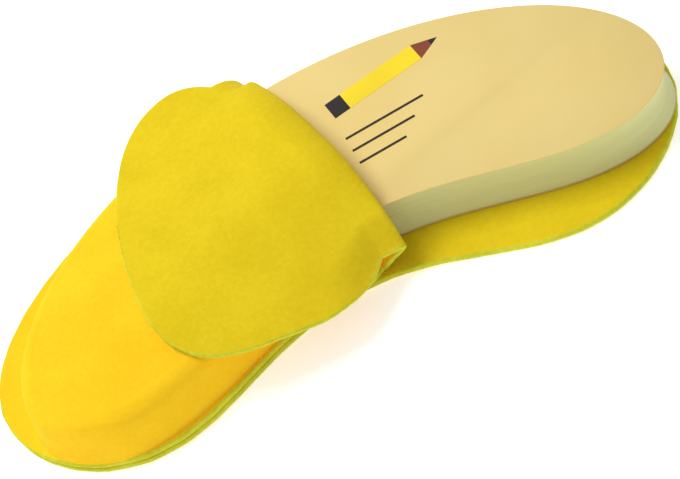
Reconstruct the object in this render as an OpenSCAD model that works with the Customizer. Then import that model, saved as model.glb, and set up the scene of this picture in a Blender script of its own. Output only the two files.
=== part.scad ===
// A tear-off notepad cut to the shape of a banana, standing half in a felt peel.
// The peel is two felt panels joined along the edge of the left half. The free half of the
// front panel rolls over and lies back on the pouch as a broad tongue.
// X runs along the pad to its bare end, Y from the hollow of the bend to its back, Z up.

/* [Pad] */
// Length of the pad along the chord of its bend
pad_len = 179.2; // [165:0.2:190]
// Width of the pad across its bend
pad_w = 57.8; // [52:0.2:64]
// Thickness of the glued sheets
sheets_h = 13.6; // [8:0.2:18]
// Thickness of the cover card
cover_th = 0.4; // [0.2:0.1:1]
// Thickness of the board under the sheets
board_th = 1; // [0.6:0.1:2]
// Depth by which the middle sheets stand back from the top and bottom ones
sheet_bow = 1.2; // [0.2:0.1:1.6]
// Bundles that the sheets fan out in
bundles = 11; // [7:1:13]
// Thickness of the film of padding glue on the bound end
glue_th = 0.5; // [0.3:0.1:0.8]
// Length of the bound end that the glue covers
glue_len = 10; // [6:1:20]

/* [Banana shape] */
// Radius of the bend of the centre line
bend_r = 103.2; // [98:0.2:140]
// Fullness of the pad's two ends, where more is squarer
pad_fullness = 4.7; // [4:0.1:6]
// Fullness of the felt's two ends, where more is squarer
felt_fullness = 6.7; // [6:0.1:8]

/* [Felt peel] */
// Thickness of the felt
felt_th = 2; // [1.6:0.1:2.4]
// Width by which the felt is broader than the pad, on each side
side_margin = 9.4; // [9.2:0.1:12]
// Length by which the felt is longer than the pad, at the bound end
bound_margin = 1.7; // [1.2:0.1:4]
// Length by which the felt is longer than the pad, at the bare end
bare_margin = 3.5; // [2:0.1:5]
// Width of the strip where the two panels are joined
seam_w = 3; // [2:0.2:4]
// Distance that the pad is pulled out of the peel
pad_slip = 6.8; // [5:0.1:7.4]
// Distance of the pad from the felt's centre line, towards the back of the bend
pad_shift = 0; // [-0.3:0.1:0]
// Angle that the pad has turned in the peel
pad_turn = 1.5; // [0:0.1:1.8]
// Height that the pouch swells above the pad
pouch_crown = 2.6; // [1:0.1:4]
// Space between the felt and what it covers
felt_gap = 0.3; // [0.3:0.1:0.6]
// Space between the two panels where they are joined
seam_gap = 0.1; // [0.1:0.05:0.2]

/* [Rolled tongue] */
// Place of the pouch's mouth along the felt, from its middle
mouth_x = 5; // [0:0.2:10]
// Slant of the mouth, from the middle to either edge
mouth_skew = 11.2; // [6:0.2:13]
// Distance that the roll stands out past the mouth
roll_out = 6.5; // [4:0.1:9]
// Height of the open roll above the resting tongue
roll_rise = 6.8; // [5:0.1:12]
// Length of the tongue from the mouth to its tip
tongue_len = 55.6; // [50:0.2:66]
// Width of the tongue where it is widest
tongue_w = 86.4; // [80:0.2:98]
// Width of the tongue at the roll
tongue_root_w = 58; // [56:0.2:78]
// Distance of the tongue's middle from the felt's centre line, towards the back of the bend
tongue_shift = -7.4; // [-12:0.2:-4]
// Radius of the bend of the tongue's own centre line
tongue_bend_r = 52; // [46:1:160]
// Lift of the tongue's far edge
far_lift = 0.5; // [0:0.5:5]

/* [Cover print] */
// Length of the printed pencil
pencil_len = 36; // [24:1:44]
// Width of the printed pencil
pencil_w = 6.4; // [4:0.2:8]
// Distance of the pencil's blunt end from the pouch's mouth
pencil_from_mouth = 9; // [8:1:16]
// Distance of the pencil above the cover's centre line
pencil_up = 9; // [5:1:12]
// Angle of the pencil
pencil_tilt = 7; // [0:1:10]
// Length of the longest printed rule
rule_len = 24; // [15:1:30]
// Thickness of a printed rule
rule_w = 0.8; // [0.5:0.1:1.2]
// Distance from one rule to the next
rule_pitch = 5; // [3:0.5:6]
// Number of rules
rules = 3; // [1:1:4]
// Thickness of the ink
ink_th = 0.06; // [0.04:0.01:0.1]

/* [Hidden] */

felt_yellow = [0.93, 0.80, 0.12];
cover_cream = [0.91, 0.80, 0.52];
paper_green = [0.66, 0.67, 0.47];
board_grey = [0.58, 0.54, 0.46];
glue_white = [0.88, 0.86, 0.76];
ink_black = [0.10, 0.07, 0.06];
ink_gold = [0.96, 0.84, 0.10];
ink_umber = [0.45, 0.20, 0.10];

// Heights of the stack, from the table up
board_z = felt_th;
sheets_z = board_z + board_th;
cover_z = sheets_z + sheets_h;
pad_top = cover_z + cover_th;

// How far the pad and the felt reach from their middles to the bound end and to the bare end
pad_ends = [pad_len / 2, pad_len / 2];
felt_ends = [pad_len / 2 + bound_margin, pad_len / 2 + bare_margin];
felt_w = pad_w + 2 * side_margin;

// The middle of the felt's thickness, on the seam, on the pad and in the tongue
seam_z = felt_th + seam_gap + felt_th / 2;
pouch_z = pad_top + felt_gap + felt_th / 2;
tongue_z = pouch_z + pouch_crown + felt_th + felt_gap;

// The pouch's wall: a small cove at its foot, a straight slope and a round shoulder
wall_foot = side_margin - abs(pad_shift) - seam_w;
wall_h = pouch_z - seam_z;
shoulder_in = 0.4 * felt_th;
least_run = 0.3;
snug = min(1, (wall_foot + shoulder_in - least_run) / (3 * felt_th));
cove_r = snug * felt_th;
shoulder_r = snug * 2 * felt_th;
crown_run = 0.4 * pad_w;

// Steps of the outlines and of the front panel's mesh
outline_steps = 56;
pouch_rows = 40;
roll_rows = 10;
tongue_rows = 14;
panel_cols = 32;
spine_steps = 4;
slope_steps = 8;

function lerp(a, b, f) = a + (b - a) * f;
function clamp01(x) = max(0, min(1, x));
function smooth(x) = let(c = clamp01(x)) c * c * (3 - 2 * c);
function unit(v) = v / max(norm(v), 1e-9);

// The bent centre line and its normal
function spine(x) = [x, -x * x / (2 * bend_r)];
function spine_normal(x) = unit([x / bend_r, 1]);

// A point of a banana, t along it and v across it, both from -1 to 1
function along_x(t, ends) = t * (t < 0 ? ends[0] : ends[1]);
function banana(t, v, ends, w) =
    let(x = along_x(t, ends))
    spine(x) + v * w / 2 * spine_normal(x);

// How far out the edge is at t, as a share of the half width, and the outline it gives
function edge_v(t, full) = sqrt(max(0, 1 - pow(abs(t), full)));
function banana_outline(ends, w, full, n = outline_steps) = [
    for (i = [0 : n])
        let(t = -cos(180 * i / n))
        banana(t, edge_v(t, full), ends, w),
    for (i = [1 : n - 1])
        let(t = cos(180 * i / n))
        banana(t, -edge_v(t, full), ends, w)
];

// From the pad's own place to the felt's, and back
pad_place = [pad_slip, pad_shift];
function turned(p, a) = [p[0] * cos(a) - p[1] * sin(a), p[0] * sin(a) + p[1] * cos(a)];
function on_felt(p) = turned(p, pad_turn) + pad_place;
function in_pad(p) = turned(p - pad_place, -pad_turn);

// Distance of a point inside the pad's outline, below zero outside it
least_share = 0.05;
least_slope = 0.01;
function foot_on_spine(p, x, n = spine_steps) = n == 0 ? x :
    let(m = spine_normal(x), off = (p - spine(x)) * m)
    foot_on_spine(p, p[0] - off * m[0], n - 1);
function inside_pad(p) =
    let(q = in_pad(p),
        x = foot_on_spine(q, q[0]),
        off = (q - spine(x)) * spine_normal(x),
        t = x / (pad_len / 2),
        hw = pad_w / 2,
        g = max(least_share, sqrt(pow(off / hw, 2) + pow(abs(t), pad_fullness))),
        across = off / (hw * hw * g),
        along = pad_fullness * pow(abs(t), pad_fullness - 1) / (pad_len * g))
    (1 - g) / max(norm([across, along]), least_slope);

// The slope of the pouch's wall that joins the cove to the shoulder in the room there is
function wall_slope(a, n = slope_steps) = n == 0 ? a :
    wall_slope(atan2(wall_h - (cove_r + shoulder_r) * (1 - cos(a)),
        max(least_run, wall_foot + shoulder_in - (cove_r + shoulder_r) * sin(a))), n - 1);
wall_a = wall_slope(80);
cove_end = cove_r * sin(wall_a) - wall_foot;
shoulder_start = shoulder_in - shoulder_r * sin(wall_a);

// Rise of the pouch above its shoulder, which goes on falling outside the pad
function dome(d) =
    let(x = min(1, (d - shoulder_in) / crown_run))
    pouch_crown * (2 * x - x * x);

// Height of the pouch's felt at a distance d inside the pad's outline
function pouch_height(d) =
    d <= -wall_foot ? seam_z :
    d < cove_end ? seam_z + cove_r - sqrt(cove_r * cove_r - pow(d + wall_foot, 2)) :
    d < shoulder_start ?
        seam_z + cove_r * (1 - cos(wall_a)) + (d - cove_end) * tan(wall_a) :
    d < shoulder_in ?
        pouch_z - shoulder_r + sqrt(shoulder_r * shoulder_r - pow(shoulder_in - d, 2)) :
    pouch_z + dome(d);

// Distance of a point of the felt from the felt's own edge. Where the pad comes close to the edge,
// the felt is drawn down to it, so that the seam stays closed.
close_run = 1.5 * felt_th;
function inside_felt(t, v) =
    let(g = max(least_share, sqrt(v * v + pow(abs(t), felt_fullness))),
        across = v / (felt_w / 2 * g),
        along = felt_fullness * pow(abs(t), felt_fullness - 1) / (2 * g * felt_ends[t < 0 ? 0 : 1]))
    (1 - g) / max(norm([across, along]), least_slope);

// A point of the pouch, a from the round left end to the mouth and v from the near edge to the
// far. The first row follows the round end up to the corners, where the two edges begin.
corner_share = 0.93;
end_crowding = 1.6;
function felt_t(x) = x / (x < 0 ? felt_ends[0] : felt_ends[1]);
function mouth_t(v) = felt_t(mouth_x - mouth_skew * v);
function round_end_t(v) =
    -pow(1 - pow(v * edge_v(corner_share, felt_fullness), 2), 1 / felt_fullness);
function pouch_point(a, v) =
    let(f = pow(a, end_crowding),
        side_t = lerp(-corner_share, mouth_t(sign(v)), f),
        t = lerp(round_end_t(v), mouth_t(v), f),
        w = v * edge_v(side_t, felt_fullness),
        p = banana(t, w, felt_ends, felt_w),
        closed = smooth(inside_felt(t, w) / close_run))
    [p[0], p[1], lerp(seam_z, pouch_height(inside_pad(p)), closed)];

// Half the width of the tongue at x, which is a superellipse from the widest place to the tip
tip_roundness = 2.4;
wide_share = 0.36;
tongue_tip_x = mouth_x - tongue_len;
tongue_wide_x = mouth_x - wide_share * tongue_len;
function round_side(f) = pow(1 - pow(abs(f), tip_roundness), 1 / tip_roundness);
function tongue_half(x) =
    let(root = tongue_root_w / 2, wide = tongue_w / 2)
    x > tongue_wide_x ?
        wide - (wide - root) * pow((x - tongue_wide_x) / (mouth_x - tongue_wide_x), 2) :
    wide * round_side(clamp01((tongue_wide_x - x) / (tongue_wide_x - tongue_tip_x)));

// A point of the tongue, s from the roll to the tip. The last row follows the round tip between
// its corners, which lie a given share of the way from the widest place to the tip.
tip_share = 0.9;
rise_from = -0.85;
fall_off = 1.3;
far_fall = 0.25;
far_fall_from = 0.4;
sink_to = 0.5;
function tongue_point(s, v) =
    let(f = sin(90 * s),
        end_x = lerp(tongue_wide_x, tongue_tip_x, round_side(v * round_side(tip_share))),
        x = lerp(pouch_point(1, v)[0], end_x, f),
        side_x = lerp(mouth_x, lerp(tongue_wide_x, tongue_tip_x, tip_share), f),
        bend = pow(x - tongue_wide_x, 2) / (2 * tongue_bend_r),
        y = tongue_shift - bend + v * tongue_half(side_x),
        hump = smooth((v - rise_from) / -rise_from)
            - far_fall * smooth((v - far_fall_from) / (1 - far_fall_from)),
        rise = roll_rise * pow(1 - f, fall_off) * hump,
        lift = far_lift * smooth(v) * (1 - f),
        sink = (pouch_crown - dome(inside_pad([x, y]))) * (1 - smooth(v / sink_to)))
    [x, y, tongue_z + rise + lift - sink];

// The roll, a half turn from the pouch's mouth up and over to the tongue's root. Both of its ends
// climb the side of the pad before they turn over.
near_lean = 1.5;
far_lean = 0.75;
function half_turn(w) = (1 - cos(180 * w)) / 2;
function roll_point(w, v) =
    let(low = pouch_point(1, v), high = tongue_point(0, v),
        out = roll_out * sin(180 * pow(w, 1 + near_lean * smooth(-v))),
        over = half_turn(pow(w, 1 + far_lean * smooth(v))))
    [lerp(low[0], high[0], over) + out, lerp(low[1], high[1], over),
        lerp(low[2], high[2], half_turn(w))];

// The middle surface of the front panel as rows of points from the left end to the tongue's tip.
// The columns stand closer together towards the two edges, where the pouch's walls are.
edge_crowding = 0.4;
function col_v(j) = let(f = lerp(-1, 1, j / panel_cols)) f * (1 + edge_crowding * (1 - f * f));
panel_mid = [
    for (i = [0 : pouch_rows]) [for (j = [0 : panel_cols]) pouch_point(i / pouch_rows, col_v(j))],
    for (i = [1 : roll_rows]) [for (j = [0 : panel_cols]) roll_point(i / roll_rows, col_v(j))],
    for (i = [1 : tongue_rows]) [for (j = [0 : panel_cols]) tongue_point(i / tongue_rows, col_v(j))]
];
last_row = len(panel_mid) - 1;

// The felt's two faces. A point on the border takes the direction of the point next to it.
function panel_normal(i, j) =
    let(k = max(1, min(last_row - 1, i)),
        c = max(1, min(panel_cols - 1, j)))
    unit(cross(panel_mid[k + 1][c] - panel_mid[k - 1][c], panel_mid[k][c + 1] - panel_mid[k][c - 1]));
function panel_side(side) = [
    for (i = [0 : last_row]) for (j = [0 : panel_cols])
        panel_mid[i][j] + side * felt_th / 2 * panel_normal(i, j)
];
panel_points = concat(panel_side(1), panel_side(-1));

// The corner numbers of the panel's faces: two skins, and a rim once round the border
row_len = panel_cols + 1;
low_side = row_len * (last_row + 1);
function corner(i, j) = i * row_len + j;
function skin(base, flip) = [
    for (i = [0 : last_row - 1]) for (j = [0 : panel_cols - 1])
        let(a = base + corner(i, j), b = base + corner(i, j + 1),
            c = base + corner(i + 1, j + 1), d = base + corner(i + 1, j))
        for (f = [[a, b, c], [a, c, d]]) flip ? [f[2], f[1], f[0]] : f
];
border = [
    for (i = [0 : last_row - 1]) corner(i, 0),
    for (j = [0 : panel_cols - 1]) corner(last_row, j),
    for (i = [last_row : -1 : 1]) corner(i, panel_cols),
    for (j = [panel_cols : -1 : 1]) corner(0, j)
];
rim = [
    for (n = [0 : len(border) - 1])
        let(a = border[n], b = border[(n + 1) % len(border)])
        for (f = [[a, b, b + low_side], [a, b + low_side, a + low_side]]) f
];
panel_faces = concat(skin(0, false), skin(low_side, true), rim);

// The middle of the whole object in plan, so that it can stand on the origin
felt_plan = banana_outline(felt_ends, felt_w, felt_fullness);
pad_plan = [for (p = banana_outline(pad_ends, pad_w, pad_fullness)) on_felt(p)];
plan_points = concat(felt_plan, pad_plan, panel_points);
plan_x = [for (p = plan_points) p[0]];
plan_y = [for (p = plan_points) p[1]];
middle = [(min(plan_x) + max(plan_x)) / 2, (min(plan_y) + max(plan_y)) / 2];

module centred() {
    translate([-middle[0], -middle[1], 0])
    children();
}

module on_pad(z) {
    centred()
    translate([pad_slip, pad_shift, z])
    rotate([0, 0, pad_turn])
    children();
}

module pad_plate(h, inset = 0) {
    linear_extrude(height = h)
    polygon(banana_outline(pad_ends - [inset, inset], pad_w - 2 * inset, pad_fullness));
}

module back_panel() {
    color(felt_yellow)
    centred()
    linear_extrude(height = felt_th)
    polygon(felt_plan);
}

module front_panel() {
    color(felt_yellow)
    centred()
    polyhedron(points = panel_points, faces = panel_faces, convexity = 8);
}

module backing_board() {
    color(board_grey)
    on_pad(board_z)
    pad_plate(board_th);
}

// The sheets fan a little, so the middle of the pile stands back from its top and bottom
bundle_h = sheets_h / bundles;
bundle_lap = 0.02;
module sheet_pile() {
    for (i = [0 : bundles - 1]) {
        lap = i < bundles - 1 ? bundle_lap : 0;
        translate([0, 0, i * bundle_h])
        pad_plate(bundle_h + lap, sheet_bow * sin(180 * i / (bundles - 1)));
    }
}

module page_block() {
    color(paper_green)
    on_pad(sheets_z)
    sheet_pile();
}

// A film that wraps the bound end of the board and fills up to the edges of the sheets
module glue_binding() {
    color(glue_white)
    on_pad(board_z)
    intersection() {
        difference() {
            pad_plate(board_th + sheets_h, -glue_th);
            translate([0, 0, -board_th])
            pad_plate(2 * board_th, 0);
            translate([0, 0, board_th])
            sheet_pile();
        }
        translate([-pad_len, -pad_len, 0])
        cube([pad_len / 2 + glue_len, 2 * pad_len, pad_top]);
    }
}

module cover_sheet() {
    color(cover_cream)
    on_pad(cover_z)
    pad_plate(cover_th);
}

// The printed pencil: an eraser and a lead in dark ink, a barrel and a cone of bare wood
pencil_x = mouth_x + pencil_from_mouth - pad_slip + roll_out / 2;
eraser_len = 0.14 * pencil_len;
cone_len = 0.2 * pencil_len;
lead_share = 0.36;
lead_end = 0.98;
rule_step = 0.2;
barrel_len = pencil_len - eraser_len - cone_len;
rules_down = 3;

module on_cover(x, y, angle = 0) {
    on_pad(pad_top)
    translate([x, y, 0])
    rotate([0, 0, angle])
    linear_extrude(height = ink_th)
    children();
}

module pencil_cone(from, to) {
    polygon([
        [barrel_len + eraser_len + from * cone_len, -pencil_w / 2 * (1 - from)],
        [barrel_len + eraser_len + to * cone_len, -pencil_w / 2 * (1 - to)],
        [barrel_len + eraser_len + to * cone_len, pencil_w / 2 * (1 - to)],
        [barrel_len + eraser_len + from * cone_len, pencil_w / 2 * (1 - from)]
    ]);
}

module ink_dark() {
    color(ink_black) {
        on_cover(pencil_x, pencil_up, pencil_tilt)
        pencil_cone(1 - lead_share, lead_end);
        on_cover(pencil_x, pencil_up, pencil_tilt)
        translate([0, -pencil_w / 2])
        square([eraser_len, pencil_w]);
        for (i = [0 : rules - 1])
            on_cover(pencil_x, -rules_down - i * rule_pitch)
            square([rule_len * (1 - rule_step * i), rule_w]);
    }
}

module ink_yellow() {
    color(ink_gold)
    on_cover(pencil_x, pencil_up, pencil_tilt)
    translate([eraser_len, -pencil_w / 2])
    square([barrel_len, pencil_w]);
}

module ink_brown() {
    color(ink_umber)
    on_cover(pencil_x, pencil_up, pencil_tilt)
    pencil_cone(0, 1 - lead_share);
}

back_panel();
front_panel();
backing_board();
page_block();
glue_binding();
cover_sheet();
ink_dark();
ink_yellow();
ink_brown();
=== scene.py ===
# %% [markdown]
# # A banana notepad in a felt peel
#
# This lesson dresses a small notepad that is cut to the shape of a banana. It stands half in a peel of
# yellow felt. The peel is two felt panels, one below the pad and one above it, joined along the edge of
# their left half. The free half of the upper panel rolls over and lies back on the pouch as a tongue.
#
# The construction comes first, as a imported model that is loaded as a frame. Everything here is in
# metres and in that same frame, so that no piece has to be fitted by hand.

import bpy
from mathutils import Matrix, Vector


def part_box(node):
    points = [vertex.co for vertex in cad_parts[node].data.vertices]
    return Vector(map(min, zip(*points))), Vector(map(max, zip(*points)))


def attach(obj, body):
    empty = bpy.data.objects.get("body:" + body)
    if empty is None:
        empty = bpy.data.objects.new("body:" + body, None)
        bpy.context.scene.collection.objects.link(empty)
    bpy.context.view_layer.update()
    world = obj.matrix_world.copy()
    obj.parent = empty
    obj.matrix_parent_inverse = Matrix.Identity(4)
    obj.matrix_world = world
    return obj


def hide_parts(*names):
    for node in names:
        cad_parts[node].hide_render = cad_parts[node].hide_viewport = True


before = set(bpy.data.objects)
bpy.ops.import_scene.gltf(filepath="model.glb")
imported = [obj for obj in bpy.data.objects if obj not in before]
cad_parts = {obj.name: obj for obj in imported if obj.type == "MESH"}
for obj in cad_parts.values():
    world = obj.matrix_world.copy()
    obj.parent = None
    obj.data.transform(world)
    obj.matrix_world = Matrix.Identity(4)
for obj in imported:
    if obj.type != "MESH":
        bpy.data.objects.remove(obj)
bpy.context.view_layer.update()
print("nodes in the frame:", sorted(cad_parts))

# %% [markdown]
# ## Sizes
#
# Soft goods are cut from a flat pattern, so the numbers that matter are the pattern's: its length, its
# width and the radius of its bend. They are written once here, in millimetres times `mm`, and the
# meshes below are worked out from them.

# %% Sizes of the pad and of the felt
import bpy
import numpy as np
from mathutils import Matrix, Vector

mm = 0.001

pad_len = 179.2 * mm
pad_w = 57.8 * mm
bend_r = 103.2 * mm
pad_fullness = 4.7
felt_fullness = 6.7

board_th = 1 * mm
sheets_h = 13.6 * mm
cover_th = 0.4 * mm
sheet_bow = 1.2 * mm

felt_th = 2 * mm
side_margin = 9.4 * mm
bound_margin = 1.7 * mm
bare_margin = 3.5 * mm
seam_w = 3 * mm
pad_slip = 6.8 * mm
pad_shift = 0 * mm
pad_turn = np.radians(1.5)
pouch_crown = 2.6 * mm
felt_gap = 0.3 * mm
seam_gap = 0.1 * mm

pad_ends = np.array([pad_len / 2, pad_len / 2])
felt_ends = pad_ends + np.array([bound_margin, bare_margin])
felt_w = pad_w + 2 * side_margin
pad_top = felt_th + board_th + sheets_h + cover_th
print("felt %.0f x %.0f mm, pad top at %.1f mm" % (felt_ends.sum() / mm, felt_w / mm, pad_top / mm))

# %% [markdown]
# ## The banana outline
#
# The die-cut shape could be drawn as a Bezier curve, but a formula is easier to share between the pad
# and the felt. A centre line bends as a parabola, and the shape spreads to both sides of it along the
# line's own normal. The ends are closed by a superellipse: a higher fullness gives a squarer end.

# %% The centre line and points beside it
def unit(v):
    return v / np.maximum(np.linalg.norm(v, axis=-1, keepdims=True), 1e-12)


def smooth(x):
    c = np.clip(x, 0, 1)
    return c * c * (3 - 2 * c)


def spine(x):
    return np.stack([x, -x * x / (2 * bend_r)], -1)


def spine_normal(x):
    return unit(np.stack([x / bend_r, np.ones_like(x)], -1))


def banana(t, v, ends, width):
    """The point at t along the bend and v across it, both from -1 to 1."""
    x = t * np.where(t < 0, *ends)
    return spine(x) + (v * width / 2)[..., None] * spine_normal(x)


def edge_v(t, fullness):
    """How far out the edge is at t, as a share of the half width."""
    return np.sqrt(np.clip(1 - np.abs(t) ** fullness, 0, 1))


def outline(ends, width, fullness, steps):
    """The closed outline, clockwise from the bound tip."""
    a = np.linspace(0, np.pi, steps + 1)
    far = banana(-np.cos(a), edge_v(np.cos(a), fullness), ends, width)
    near = banana(np.cos(a), -edge_v(np.cos(a), fullness), ends, width)
    return np.concatenate([far, near[1:-1]])


felt_outline = outline(felt_ends, felt_w, felt_fullness, 200)
to_frame = np.array(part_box("back_panel")[0])[:2] - felt_outline.min(0)
print("the felt's own middle is moved by", np.round(to_frame / mm, 2), "mm to meet the frame")

# %% [markdown]
# The pad doesn't lie exactly in the middle of the felt. It is pulled out towards its bare end and has
# turned a little, and that is why the felt shows as a wide lip on one side only. The felt above the pad
# follows it, so a helper gives each point's distance inside the pad's edge. Near the middle of the pad
# the formula has no direction to follow, so two small floors keep it from dividing by nothing.

# %% The pad's place on the felt
pad_place = np.array([pad_slip, pad_shift])
least_share = 0.05
least_slope = 10
turn = np.array([[np.cos(pad_turn), -np.sin(pad_turn)], [np.sin(pad_turn), np.cos(pad_turn)]])


def on_felt(p):
    return p @ turn.T + pad_place


def inside_pad(p):
    """Distance of points inside the pad's outline, below zero outside it."""
    q = (p - pad_place) @ turn
    x = q[..., 0]
    for _ in range(4):
        off = ((q - spine(x)) * spine_normal(x)).sum(-1)
        x = q[..., 0] - off * spine_normal(x)[..., 0]
    off = ((q - spine(x)) * spine_normal(x)).sum(-1)
    t = x / (pad_len / 2)
    half = pad_w / 2
    g = np.maximum(least_share, np.sqrt((off / half) ** 2 + np.abs(t) ** pad_fullness))
    across = off / (half * half * g)
    along = pad_fullness * np.abs(t) ** (pad_fullness - 1) / (pad_len * g)
    return (1 - g) / np.maximum(np.hypot(across, along), least_slope)


middle_inside = float(inside_pad(pad_place)) / mm
print("the pad's middle is %.1f mm inside its edge" % middle_inside)

# %% [markdown]
# ## Meshes from points
#
# Every piece here is a list of points and a list of faces, so one helper turns such lists into an object
# with smooth shading and a material on each face. The other makes a wave that is the same on each run,
# because its angles and lengths come from a seed. It serves wherever soft stuff isn't quite even.

# %% A helper for objects and one for soft waves
def new_object(name, points, faces, materials, face_material=None):
    mesh = bpy.data.meshes.new(name)
    mesh.from_pydata([tuple(map(float, p)) for p in points], [], [tuple(map(int, f)) for f in faces])
    mesh.validate()
    for m in materials:
        mesh.materials.append(m)
    if face_material is not None:
        mesh.polygons.foreach_set("material_index", np.asarray(face_material, np.int32))
    mesh.polygons.foreach_set("use_smooth", [True] * len(mesh.polygons))
    piece = bpy.data.objects.new(name, mesh)
    bpy.context.scene.collection.objects.link(piece)
    return piece


def soft_wave(p, length, seed):
    """A smooth wave over the plane, about -1 to 1, the same each run."""
    rng = np.random.default_rng(seed)
    total = np.zeros(p.shape[:-1])
    for angle in rng.uniform(0, 2 * np.pi, 5):
        k = 2 * np.pi / (length * rng.uniform(0.75, 1.3))
        total += np.sin(k * (p[..., 0] * np.cos(angle) + p[..., 1] * np.sin(angle)) + rng.uniform(0, 6.3))
    return total / 3


print("a soft wave at the middle:", round(float(soft_wave(np.zeros(2), 9 * mm, 3)), 3))

# %% [markdown]
# A felt panel starts as a grid of points in the middle of its thickness. From that grid come the
# direction that the panel faces at each point and its border once round.


def grid_normals(mid):
    along = np.gradient(mid, axis=0)
    across = np.gradient(mid, axis=1)
    return unit(np.cross(along, across))


def ring_of(rows, cols):
    """The border of a grid, once round, as (row, column) pairs."""
    near_end = [(0, j) for j in range(cols)]
    far_side = [(i, cols - 1) for i in range(1, rows)]
    far_end = [(rows - 1, j) for j in range(cols - 2, -1, -1)]
    near_side = [(i, 0) for i in range(rows - 2, 0, -1)]
    return near_end + far_side + far_end + near_side


print("the border of a 4 by 5 grid has", len(ring_of(4, 5)), "points")

# %% [markdown]
# ## A felt panel as a closed mesh
#
# Felt has a real thickness, and its cut edge shows all round. A Solidify modifier could thicken a
# plane, but here the rim should bulge a little as cut felt does and take its own material. So a helper
# builds both faces from a grid of middle points and closes them with a rounded rim. Two slow waves make
# that rim a little uneven, as scissors and a die both leave it.

# %% A helper for felt panels
felt_rim = [(0.86, 0.55), (0.5, 0.92), (0.0, 1.0), (-0.5, 0.92), (-0.86, 0.55)]
rim_bulge = 0.28
rim_waves = [(0.12 * mm, 9 * mm, 3), (0.05 * mm, 2.5 * mm, 5)]


def felt_sheet(name, mid, materials):
    """A closed felt panel round a grid of middle points: upper face, lower face, rim."""
    rows, cols = mid.shape[:2]
    normal = grid_normals(mid)
    ring = ring_of(rows, cols)
    at = np.array(ring)
    border = mid[at[:, 0], at[:, 1]]
    border_up = normal[at[:, 0], at[:, 1]]
    along = unit(np.roll(border, -1, 0) - np.roll(border, 1, 0))
    outward = unit(np.cross(border_up, along))
    rough = sum(height * soft_wave(border, length, seed) for height, length, seed in rim_waves)
    layers = [(mid + normal * felt_th / 2).reshape(-1, 3), (mid - normal * felt_th / 2).reshape(-1, 3)]
    for height, out in felt_rim:
        spread = rim_bulge * felt_th + rough[:, None]
        layers.append(border + border_up * height * felt_th / 2 + outward * out * spread)
    points = np.concatenate(layers)
    low = rows * cols
    faces = []
    kinds = []
    for i in range(rows - 1):
        for j in range(cols - 1):
            a = i * cols + j
            faces.append((a, a + cols, a + cols + 1, a + 1))
            faces.append((low + a, low + a + 1, low + a + cols + 1, low + a + cols))
            kinds += [0, 1]
    first = [i * cols + j for i, j in ring]
    loops = [first]
    loops += [[2 * low + k * len(ring) + n for n in range(len(ring))] for k in range(len(felt_rim))]
    loops += [[low + i for i in first]]
    for upper, lower in zip(loops, loops[1:]):
        for n in range(len(ring)):
            m = (n + 1) % len(ring)
            faces.append((upper[n], upper[m], lower[m], lower[n]))
            kinds.append(2)
    return new_object(name, points, faces, materials, kinds)


print("a felt rim has", len(felt_rim) + 1, "strips of faces")

# %% [markdown]
# ## Colour helpers
#
# Colours are easier to judge as they look on screen, so they are written in sRGB and turned into the
# linear values that shaders use. The other helper adds one node and sets its sockets in one line,
# which keeps the recipes for the finishes short.

# %% Helpers that make materials
def srgb(r, g, b):
    c = np.array([r, g, b]) / 255
    lin = np.where(c <= 0.04045, c / 12.92, ((c + 0.055) / 1.055) ** 2.4)
    return (*map(float, lin), 1.0)


def add(tree, kind, settings=None, **inputs):
    """Adds a node. A socket takes a value or another node's output."""
    node = tree.nodes.new(kind)
    for key, value in (settings or {}).items():
        setattr(node, key, value)
    for key, value in inputs.items():
        socket = node.inputs[key.replace("_", " ")]
        if isinstance(value, bpy.types.NodeSocket):
            tree.links.new(value, socket)
        else:
            socket.default_value = value
    return node


def new_material(name):
    material = bpy.data.materials.new(name)
    material.use_nodes = True
    tree = material.node_tree
    tree.nodes.clear()
    out = tree.nodes.new("ShaderNodeOutputMaterial")
    shader = tree.nodes.new("ShaderNodeBsdfPrincipled")
    tree.links.new(shader.outputs["BSDF"], out.inputs["Surface"])
    where = tree.nodes.new("ShaderNodeTexCoord").outputs["Object"]
    return material, tree, shader, where


def ramp(tree, fac, stops):
    """A colour ramp through (position, colour) stops."""
    node = tree.nodes.new("ShaderNodeValToRGB")
    tree.links.new(fac, node.inputs["Fac"])
    elements = node.color_ramp.elements
    elements[0].position, elements[0].color = stops[0]
    elements[1].position, elements[1].color = stops[-1]
    for position, colour in stops[1:-1]:
        elements.new(position).color = colour
    return node.outputs["Color"]


print("felt yellow in linear values:", np.round(srgb(240, 205, 35), 3))

# %% [markdown]
# ## Felt
#
# Felt has no weave. It is fibres pressed into a mat, so it shows soft mottling a few millimetres wide
# and a fine nap with no direction of its own. The mottling is noise at two sizes. The nap is fine noise
# mixed with short hairs that lie three ways, and it works as bump only, as coloured hairs would look
# like brush strokes from this far. A little sheen lifts the glancing angles. The cut edge's lighter,
# greener colour is painted sheen, standing in for glancing light on the cut fibres.

# %% The felt's finish
hair_turns = (12, 71, 130)


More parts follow.
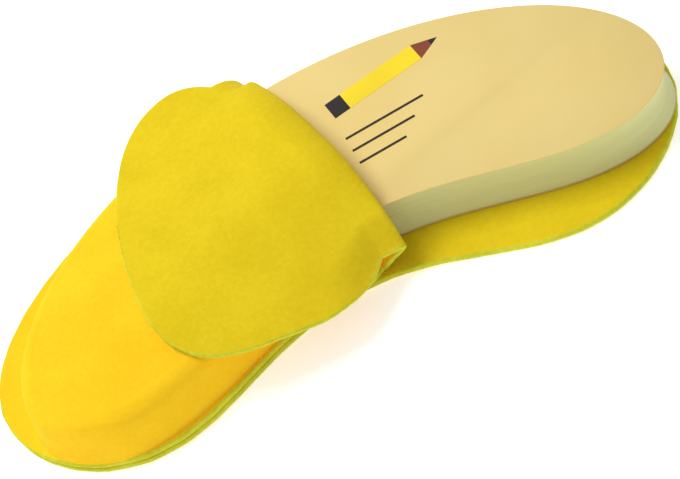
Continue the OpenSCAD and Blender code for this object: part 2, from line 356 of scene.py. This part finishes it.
def felt_finish(name, bright, dull, nap=0.4, sheen=0.12):
    material, tree, shader, where = new_material(name)
    wide = add(tree, "ShaderNodeTexNoise", Vector=where, Scale=55.0, Detail=3.0, Roughness=0.5)
    fine = add(tree, "ShaderNodeTexNoise", Vector=where, Scale=700.0, Detail=5.0, Roughness=0.65)
    mottle = add(tree, "ShaderNodeMath", {"operation": "ADD"})
    tree.links.new(wide.outputs["Fac"], mottle.inputs[0])
    tree.links.new(fine.outputs["Fac"], mottle.inputs[1])
    half = add(tree, "ShaderNodeMath", {"operation": "MULTIPLY"})
    tree.links.new(mottle.outputs["Value"], half.inputs[0])
    half.inputs[1].default_value = 0.5
    face = ramp(tree, half.outputs["Value"], [(0.38, dull), (0.62, bright)])
    tree.links.new(face, shader.inputs["Base Color"])
    height = fine.outputs["Fac"]
    for n, turn_deg in enumerate(hair_turns):
        placed = add(tree, "ShaderNodeMapping", Vector=where, Scale=(700.0, 1900.0, 1400.0))
        placed.inputs["Rotation"].default_value = (0.4 * n, 0.3 * n, np.radians(turn_deg))
        hairs = add(tree, "ShaderNodeTexNoise", Vector=placed.outputs["Vector"], Scale=1.0, Detail=2.0)
        both = add(tree, "ShaderNodeMath", {"operation": "MAXIMUM"})
        tree.links.new(height, both.inputs[0])
        tree.links.new(hairs.outputs["Fac"], both.inputs[1])
        height = both.outputs["Value"]
    bump = add(tree, "ShaderNodeBump", Height=height, Strength=nap, Distance=0.25 * mm)
    tree.links.new(bump.outputs["Normal"], shader.inputs["Normal"])
    shader.inputs["Roughness"].default_value = 0.95
    shader.inputs["Specular IOR Level"].default_value = 0.12
    shader.inputs["Sheen Weight"].default_value = sheen
    shader.inputs["Sheen Roughness"].default_value = 0.5
    shader.inputs["Sheen Tint"].default_value = bright
    return material


felt_outer = felt_finish("felt_outer", srgb(252, 204, 34), srgb(244, 194, 26))
felt_inner = felt_finish("felt_inner", srgb(226, 199, 30), srgb(215, 187, 22))
# The cut edge's lighter, greener colour is painted sheen: it stands in for glancing light on the cut fibres.
felt_cut_painted_sheen = felt_finish("felt_cut_painted_sheen", srgb(216, 212, 58), srgb(190, 192, 40), nap=0.6)
print("three felt finishes: outer face, inner face and cut edge")

# %% [markdown]
# ## The back panel
#
# The lower panel is the simplest piece: a banana of felt that lies flat. It could be a filled curve, but
# that gives long thin faces. A grid whose end rows follow the round ends keeps the faces even, where a
# fan of triangles at each tip would pinch.

# %% Grids that fit a round end
corner_t = 0.93


def even(n, crowd=0.0):
    """n steps from -1 to 1 that may crowd towards both ends."""
    f = np.linspace(-1, 1, n)
    return f * (1 + crowd * (1 - f * f))


def end_curve(b, fullness):
    """t of the round end, for b from -1 to 1 across it."""
    corner_v = edge_v(corner_t, fullness)
    return (1 - (corner_v * b) ** 2) ** (1 / fullness)


back_rows = 200
back_cols = 90
back_crowding = 0.3
a = np.linspace(0, 1, back_rows)[:, None]
b = even(back_cols, back_crowding)[None, :]
end_t = end_curve(b, felt_fullness)
t = -end_t + 2 * end_t * a
side_t = corner_t * (2 * a - 1)
v = b * edge_v(side_t, felt_fullness)
flat_plan = banana(t, v, felt_ends, felt_w)

# %% [markdown]
# Felt never lies quite flat. A slow wave lifts the free edge by a few tenths of a millimetre, and only
# on the half that isn't joined.

# %% The back panel lies on the table
edge_from = 0.72
edge_lift = 0.5 * mm
edge_wave = 45 * mm
free_edge = smooth((np.abs(v) - edge_from) / (1 - edge_from))
lift = edge_lift * free_edge * (0.5 + 0.5 * soft_wave(flat_plan, edge_wave, 4))
back_mid = np.dstack([flat_plan + to_frame, felt_th / 2 + lift * (t > 0)])
back_felt = felt_sheet("back_felt", back_mid, [felt_inner, felt_outer, felt_cut_painted_sheen])
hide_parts("back_panel")
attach(back_felt, "root")
print("back panel faces:", len(back_felt.data.polygons))

# %% [markdown]
# ## The front panel
#
# The upper panel is one sheet too, though it does three things. It stands over the pad as a pouch, it
# turns over at the mouth as an open roll, and it comes to rest on the pouch as a tongue. Cloth
# simulation would be the usual way, but the fold here has a known shape, so each stretch is a formula
# and the three grids are laid end to end. The pouch's height depends only on how far a point lies from
# the pad's edge: flat seam, small cove, steep wall, round shoulder, and a slight crown.

# %% The pouch's height
seam_z = felt_th + seam_gap + felt_th / 2
pouch_z = pad_top + felt_gap + felt_th / 2
tongue_z = pouch_z + pouch_crown + felt_th + felt_gap
wall_foot = side_margin - abs(pad_shift) - seam_w
cove_r = felt_th
shoulder_r = 2 * felt_th
shoulder_in = 0.4 * felt_th
crown_run = 0.4 * pad_w
close_run = 1.5 * felt_th
least_run = 0.3 * mm

wall_a = np.radians(80)
for _ in range(8):
    rise = pouch_z - seam_z - (cove_r + shoulder_r) * (1 - np.cos(wall_a))
    run = max(least_run, wall_foot + shoulder_in - (cove_r + shoulder_r) * np.sin(wall_a))
    wall_a = np.arctan2(rise, run)
cove_end = cove_r * np.sin(wall_a) - wall_foot
shoulder_start = shoulder_in - shoulder_r * np.sin(wall_a)
print("the pouch's wall stands at %.0f degrees" % np.degrees(wall_a))

# %% [markdown]
# With these sizes the height at any distance is one of five short formulas. The felt's own edge needs
# a distance too, because towards the left tip the pad comes so close to it that the two panels have to
# meet before the wall has come down. There the height is blended back to the seam.

# %% The height at a distance from the edge
def inside_felt(t, v):
    """Distance of a point of the felt from the felt's own edge."""
    g = np.maximum(least_share, np.sqrt(v**2 + np.abs(t) ** felt_fullness))
    across = v / (felt_w / 2 * g)
    along = felt_fullness * np.abs(t) ** (felt_fullness - 1) / (2 * g * np.where(t < 0, *felt_ends))
    return (1 - g) / np.maximum(np.hypot(across, along), least_slope)


def dome(d):
    """Rise of the pouch above its shoulder. It goes on falling outside the pad."""
    x = np.minimum(1, (d - shoulder_in) / crown_run)
    return pouch_crown * (2 * x - x * x)


def pouch_height(d):
    """Height of the felt's middle at a distance d inside the pad's edge."""
    cove = seam_z + cove_r - np.sqrt(np.clip(cove_r**2 - (d + wall_foot) ** 2, 0, None))
    slope = seam_z + cove_r * (1 - np.cos(wall_a)) + (d - cove_end) * np.tan(wall_a)
    shoulder = pouch_z - shoulder_r + np.sqrt(np.clip(shoulder_r**2 - (shoulder_in - d) ** 2, 0, None))
    return np.select([d <= -wall_foot, d < cove_end, d < shoulder_start, d < shoulder_in],
                     [np.full_like(d, seam_z), cove, slope, shoulder], pouch_z + dome(d))


deep_inside = np.array([pad_w / 2])
print("the pouch is %.1f mm high over the pad's middle" % (pouch_height(deep_inside)[0] / mm))

# %% [markdown]
# The pouch's rows run from the round left end to the mouth, which is cut at a slant. A grid is the
# right mesh for it, as the fold can later be laid on at its last row. Close to the mouth the pouch's
# near edge is cut in a little, which lets the fold turn there without a corner that stands out.

# %% The pouch's grid
mouth_x = 5 * mm
mouth_skew = 11.2 * mm
notch = 0.06
notch_run = 0.075
pouch_rows = 190
panel_cols = 220
edge_crowding = 0.4
end_crowding = 1.6


def felt_t(x):
    return x / np.where(x < 0, *felt_ends)


b = even(panel_cols, edge_crowding)[None, :]
a = np.linspace(0, 1, pouch_rows)[:, None] ** end_crowding
left_t = -end_curve(b, felt_fullness)
mouth_t = felt_t(mouth_x - mouth_skew * b)
mouth_side_t = felt_t(mouth_x - mouth_skew * np.sign(b))
t = left_t + (mouth_t - left_t) * a
side_t = -corner_t + (mouth_side_t + corner_t) * a
cut_in = notch * smooth((a - 1 + notch_run) / notch_run) * (b < 0)
v = b * edge_v(side_t, felt_fullness) * (1 - cut_in)
pouch_plan = banana(t, v, felt_ends, felt_w)
closed = smooth(inside_felt(t, v) / close_run)
pouch = np.dstack([pouch_plan, seam_z + (pouch_height(inside_pad(pouch_plan)) - seam_z) * closed])
print("pouch grid", pouch.shape[:2], "highest %.1f mm" % (pouch[..., 2].max() / mm))

# %% [markdown]
# The tongue is the free half of the same panel, turned back onto the pouch. It is a broad rounded shape
# of its own, widest a third of the way along. It could be the pouch's outline mirrored at the mouth,
# but the real one is cut wider. Its root is the mouth's line, lifted over the roll, and its height
# falls from there until it rests on the pouch.

# %% The tongue's sizes and its half width
tongue_len = 55.6 * mm
tongue_w = 87.5 * mm
near_root = 26 * mm
far_root = 37 * mm
tongue_shift = -7.4 * mm
tongue_bend_r = 52 * mm
tip_roundness = 2.4
wide_share = 0.36
tongue_tip_x = mouth_x - tongue_len
tongue_wide_x = mouth_x - wide_share * tongue_len
tip_corner = 0.9


def tongue_half(x, b):
    """Half the tongue's width at x. It grows from the root to the widest place."""
    root = np.where(b < 0, near_root, far_root)
    wide = tongue_w / 2
    left_to_go = (x - tongue_wide_x) / (mouth_x - tongue_wide_x)
    f = np.clip((tongue_wide_x - x) / (tongue_wide_x - tongue_tip_x), 0, 1)
    left = wide * (1 - f**tip_roundness) ** (1 / tip_roundness)
    return np.where(x > tongue_wide_x, wide - (wide - root) * left_to_go**2, left)


print("the tongue's tip is at x = %.1f mm" % (tongue_tip_x / mm))

# %% [markdown]
# The grid's rows crowd towards the tip, where the outline turns fastest. The height then gets four
# parts: it rests on the pouch, it sinks with the pouch's dome, it rises to the open fold at the root,
# and the near end of the fold is tucked down, because the seam holds the felt there.

# %% The tongue's grid
tongue_rows = 80
far_lift = 0.5 * mm
roll_rise = 6.8 * mm
far_fall = 0.6
far_fall_from = 0.4
sink_to = 0.5
near_tuck = 6 * mm
tuck_from = 0.75
tuck_run = 0.3
fall_off = 1.3
rise_from = -0.85
s = np.sin(np.linspace(0, np.pi / 2, tongue_rows))[:, None]
side_end_x = tongue_wide_x + tip_corner * (tongue_tip_x - tongue_wide_x)
end_v = b * (1 - tip_corner**tip_roundness) ** (1 / tip_roundness)
end_x = tongue_wide_x + (tongue_tip_x - tongue_wide_x) * (1 - np.abs(end_v) ** tip_roundness) ** (
    1 / tip_roundness)
root_x = pouch[-1, :, 0][None, :]
x = root_x + (end_x - root_x) * s
side_x = mouth_x + (side_end_x - mouth_x) * s
y = tongue_shift - (x - tongue_wide_x) ** 2 / (2 * tongue_bend_r) + b * tongue_half(side_x, b)
tongue_plan = np.dstack([x, y])
sink = (pouch_crown - dome(inside_pad(tongue_plan))) * (1 - smooth(b / sink_to))
hump = smooth((b - rise_from) / -rise_from) - far_fall * smooth((b - far_fall_from) / (1 - far_fall_from))
z = tongue_z + roll_rise * (1 - s) ** fall_off * hump
z = z + far_lift * smooth(b) * (1 - s) - sink
z = z - near_tuck * smooth((-b - tuck_from) / (1 - tuck_from)) * (1 - smooth(s / tuck_run))
tongue = np.dstack([x, y, z])
print("tongue grid", tongue.shape[:2], "width %.0f mm" % (np.ptp(tongue[..., 1]) / mm))

# %% [markdown]
# The roll joins the pouch's last row to the tongue's first. Half a turn of a cosine carries each point
# over and up, and half a sine pushes it out past the mouth. A plain half circle would be too stiff:
# felt rolls open in the middle and leans over at its two ends, so each end has a lean of its own. The
# three grids then make one closed sheet.

# %% The roll between them, and the whole panel
roll_out = 6.5 * mm
near_lean = 1.5
far_lean = 0.45
roll_rows = 40
w = np.linspace(0, 1, roll_rows + 2)[1:-1, None]


def half_turn(w):
    return (1 - np.cos(np.pi * w)) / 2


out = roll_out * np.sin(np.pi * w ** (1 + near_lean * smooth(-b)))
over = half_turn(w ** (1 + far_lean * smooth(b)))
up = half_turn(w) + 0 * b
gap = (tongue[0] - pouch[-1])[None]
roll = pouch[-1][None] + gap * np.dstack([over, over, up])
roll[..., 0] += out
front_mid = np.concatenate([pouch, roll, tongue])
front_mid = front_mid + np.array([*to_frame, 0])
front_felt = felt_sheet("front_felt", front_mid, [felt_outer, felt_inner, felt_cut_painted_sheen])
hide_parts("front_panel")
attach(front_felt, "root")

# %% [markdown]
# ## The pad
#
# The pad is a pile of sheets between a cover and a board. Its cut edge isn't a plain wall: the middle
# sheets stand back, so the upper half of the edge faces down a little and looks dark, and the lower half
# catches the light. A stack of thin leaves, each with its own small offset, gives that edge and its fine
# lines in one closed mesh.

# %% A helper for stacked outlines
pad_steps = 180


def pad_loop(inset):
    return on_felt(outline(pad_ends - inset, pad_w - 2 * inset, pad_fullness, pad_steps)) + to_frame


def stack(name, levels, materials):
    """A closed solid through (height, inset) levels of the pad's outline."""
    loops = [np.column_stack([pad_loop(d), np.full(2 * pad_steps, z)]) for z, d in levels]
    n = 2 * pad_steps
    faces = [tuple(range(n)), tuple(reversed(range((len(loops) - 1) * n, len(loops) * n)))]
    kinds = [0, 0]
    for k in range(len(loops) - 1):
        for i in range(n):
            m = (i + 1) % n
            faces.append((k * n + i, (k + 1) * n + i, (k + 1) * n + m, k * n + m))
            kinds.append(1 if len(materials) > 1 else 0)
    return new_object(name, np.concatenate(loops), faces, materials, kinds)


print("pad outline points:", 2 * pad_steps)

# %% [markdown]
# The pile's cut edges are given a greyer, greener colour than white paper. Fine noise that is stretched
# along the pile gives the lines.

# %% Paper and card finishes
def paper_edge_finish(name, light, dark):
    material, tree, shader, where = new_material(name)
    flat = add(tree, "ShaderNodeMapping", Vector=where, Scale=(30.0, 30.0, 4200.0))
    lines = add(tree, "ShaderNodeTexNoise", Vector=flat.outputs["Vector"], Scale=1.0, Detail=4.0)
    tone = ramp(tree, lines.outputs["Fac"], [(0.3, dark), (0.7, light)])
    tree.links.new(tone, shader.inputs["Base Color"])
    bump = add(tree, "ShaderNodeBump", Height=lines.outputs["Fac"], Strength=0.35, Distance=0.1 * mm)
    tree.links.new(bump.outputs["Normal"], shader.inputs["Normal"])
    shader.inputs["Roughness"].default_value = 0.6
    shader.inputs["Specular IOR Level"].default_value = 0.3
    return material


def card_finish(name, light, dark, rough=0.7):
    material, tree, shader, where = new_material(name)
    cloud = add(tree, "ShaderNodeTexNoise", Vector=where, Scale=45.0, Detail=3.0)
    tone = ramp(tree, cloud.outputs["Fac"], [(0.3, dark), (0.7, light)])
    tree.links.new(tone, shader.inputs["Base Color"])
    grain = add(tree, "ShaderNodeTexNoise", Vector=where, Scale=2500.0, Detail=2.0)
    bump = add(tree, "ShaderNodeBump", Height=grain.outputs["Fac"], Strength=0.12, Distance=0.05 * mm)
    tree.links.new(bump.outputs["Normal"], shader.inputs["Normal"])
    shader.inputs["Roughness"].default_value = rough
    shader.inputs["Specular IOR Level"].default_value = 0.3
    return material


cover_card = card_finish("cover_card", srgb(232, 206, 132), srgb(228, 201, 124))
sheet_edges = paper_edge_finish("sheet_edges", srgb(216, 214, 150), srgb(204, 203, 138))
grey_board = card_finish("grey_board", srgb(200, 178, 112), srgb(186, 162, 96), rough=0.9)
dried_glue = card_finish("dried_glue", srgb(226, 220, 196), srgb(210, 202, 176), rough=0.4)
ink_dark = card_finish("ink_dark", srgb(38, 28, 26), srgb(28, 20, 18), rough=0.5)
ink_yellow = card_finish("ink_yellow", srgb(246, 222, 24), srgb(236, 206, 20), rough=0.5)
ink_brown = card_finish("ink_brown", srgb(140, 66, 36), srgb(122, 54, 30), rough=0.5)
print("paper, card, glue and three inks")

# %% [markdown]
# The pile could be one block with a striped picture on it, but real leaves are never flush. So the
# outline is repeated at many heights, and each leaf stands back by the bow and by a little play. The
# cover and the board use the same helper with three heights, the third for a softened edge.

# %% The pile of sheets, the cover and the board
rng = np.random.default_rng(7)
leaves = 60
leaf_play = 0.03 * mm
board_z = felt_th
sheets_z = board_z + board_th
cover_z = sheets_z + sheets_h
leaf_h = sheets_h / leaves
levels = [(sheets_z, 0.0)]
for k in range(leaves):
    up = (k + 0.5) / leaves
    back = sheet_bow * np.sin(np.pi * up) + rng.uniform(0, leaf_play)
    levels.append((sheets_z + (k + 0.5) * leaf_h, back))
levels.append((cover_z, 0.0))
page_pile = stack("page_pile", levels, [sheet_edges, sheet_edges])
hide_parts("page_block")
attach(page_pile, "root")

edge_round = 0.12 * mm
cover = stack("cover_card", [(cover_z, 0.0), (cover_z + cover_th - edge_round, 0.0),
                             (cover_z + cover_th, edge_round)], [cover_card])
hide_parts("cover_sheet")
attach(cover, "root")

board = stack("board", [(board_z, edge_round), (board_z + edge_round, 0.0),
                        (board_z + board_th, 0.0)], [grey_board])
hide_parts("backing_board")
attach(board, "root")
print("page pile faces:", len(page_pile.data.polygons))

# %% [markdown]
# ## The pieces that keep their own shape
#
# The glue and the print are right as they were made, so they only get a finish. A carried-over piece is
# dressed by swapping the material in its slots, and its mesh isn't touched.

# %% Dress the glue and the print
for node, finish in {"glue_binding": dried_glue, "ink_dark": ink_dark, "ink_yellow": ink_yellow,
                     "ink_brown": ink_brown}.items():
    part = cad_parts[node]
    part.data.materials.clear()
    part.data.materials.append(finish)
    print("dressed", node)

# %% [markdown]
# ## Floor, light and camera
#
# A pale floor that glows a little stands for a white table that is lit more strongly than the pad. It
# could be a plain white plane under more lamps, but those would flatten the felt as well.

# %% The floor
bpy.ops.mesh.primitive_plane_add(size=6)
floor = bpy.context.object
floor.name = "floor"
floor_finish, tree, shader, where = new_material("floor_paint")
cloud = add(tree, "ShaderNodeTexNoise", Vector=where, Scale=3.0)
tone = ramp(tree, cloud.outputs["Fac"], [(0.3, srgb(243, 243, 242)), (0.7, srgb(246, 246, 245))])
tree.links.new(tone, shader.inputs["Base Color"])
shader.inputs["Roughness"].default_value = 0.9
shader.inputs["Emission Color"].default_value = (1, 1, 1, 1)
shader.inputs["Emission Strength"].default_value = 0.45
floor.data.materials.append(floor_finish)
print("floor is", floor.dimensions[0], "m wide")

# %% [markdown]
# Soft light shows the felt's shape without hard shadows. One large lamp stands high, a little beyond
# the far left of the pad, so that the near walls fall into a gentle shade. The sky fills the rest. It
# is white on the left and greyer on the right, so that the bare end's edge is darker than the tongue.

# %% The light
world = bpy.data.worlds.new("soft_sky")
world.use_nodes = True
sky = world.node_tree
direction = add(sky, "ShaderNodeTexCoord").outputs["Generated"]
sideways = add(sky, "ShaderNodeSeparateXYZ", Vector=direction).outputs["X"]
share = add(sky, "ShaderNodeMapRange", Value=sideways, From_Min=-1.0)
tone = ramp(sky, share.outputs["Result"], [(0.0, (1, 1, 1, 1)), (1.0, (0.6, 0.62, 0.66, 1))])
sky.links.new(tone, sky.nodes["Background"].inputs["Color"])
sky.nodes["Background"].inputs["Strength"].default_value = 0.74
bpy.context.scene.world = world


def soft_lamp(name, place, aim, size, power):
    data = bpy.data.lights.new(name, "AREA")
    data.shape = "DISK"
    data.size = size
    data.energy = power
    lamp = bpy.data.objects.new(name, data)
    bpy.context.scene.collection.objects.link(lamp)
    lamp.location = place
    lamp.rotation_mode = "QUATERNION"
    lamp.rotation_quaternion = (Vector(aim) - Vector(place)).to_track_quat("-Z", "Y")
    return lamp


key = soft_lamp("key", place=(-0.3, 0.28, 0.86), aim=(0, 0, 0), size=0.6, power=5.9)
bpy.context.scene.view_settings.view_transform = "Standard"
print("key lamp of", key.data.energy, "W")

# %% [markdown]
# The photograph looks down at 50 degrees, and the camera was rolled, so the pad runs from lower left to
# upper right. A long lens keeps the two ends of the pad nearly the same size.

# %% The camera
picture_w = 680
focal_px = 2267
sensor = 36.0
elevation = np.radians(50)
azimuth = np.radians(3)
camera_roll = np.radians(31)
distance = 606 * mm
look_at = np.array([3.13, -24.87]) * mm
look_height = 8 * mm
aim = Vector((*(look_at + to_frame), look_height))

back = Vector((np.sin(azimuth) * np.cos(elevation), -np.cos(azimuth) * np.cos(elevation), np.sin(elevation)))
level = Vector((np.cos(azimuth), np.sin(azimuth), 0))
upright = back.cross(level)
right = level * np.cos(camera_roll) - upright * np.sin(camera_roll)
up = level * np.sin(camera_roll) + upright * np.cos(camera_roll)
lens = bpy.data.cameras.new("camera")
lens.sensor_width = sensor
lens.lens = focal_px / picture_w * sensor
lens.clip_start = 0.01
lens.clip_end = 20
camera = bpy.data.objects.new("camera", lens)
bpy.context.scene.collection.objects.link(camera)
camera.matrix_world = Matrix.Translation(aim + back * distance) @ Matrix((right, up, back)).transposed().to_4x4()
bpy.context.scene.camera = camera
print("lens of %.0f mm at %.0f mm" % (lens.lens, distance / mm))
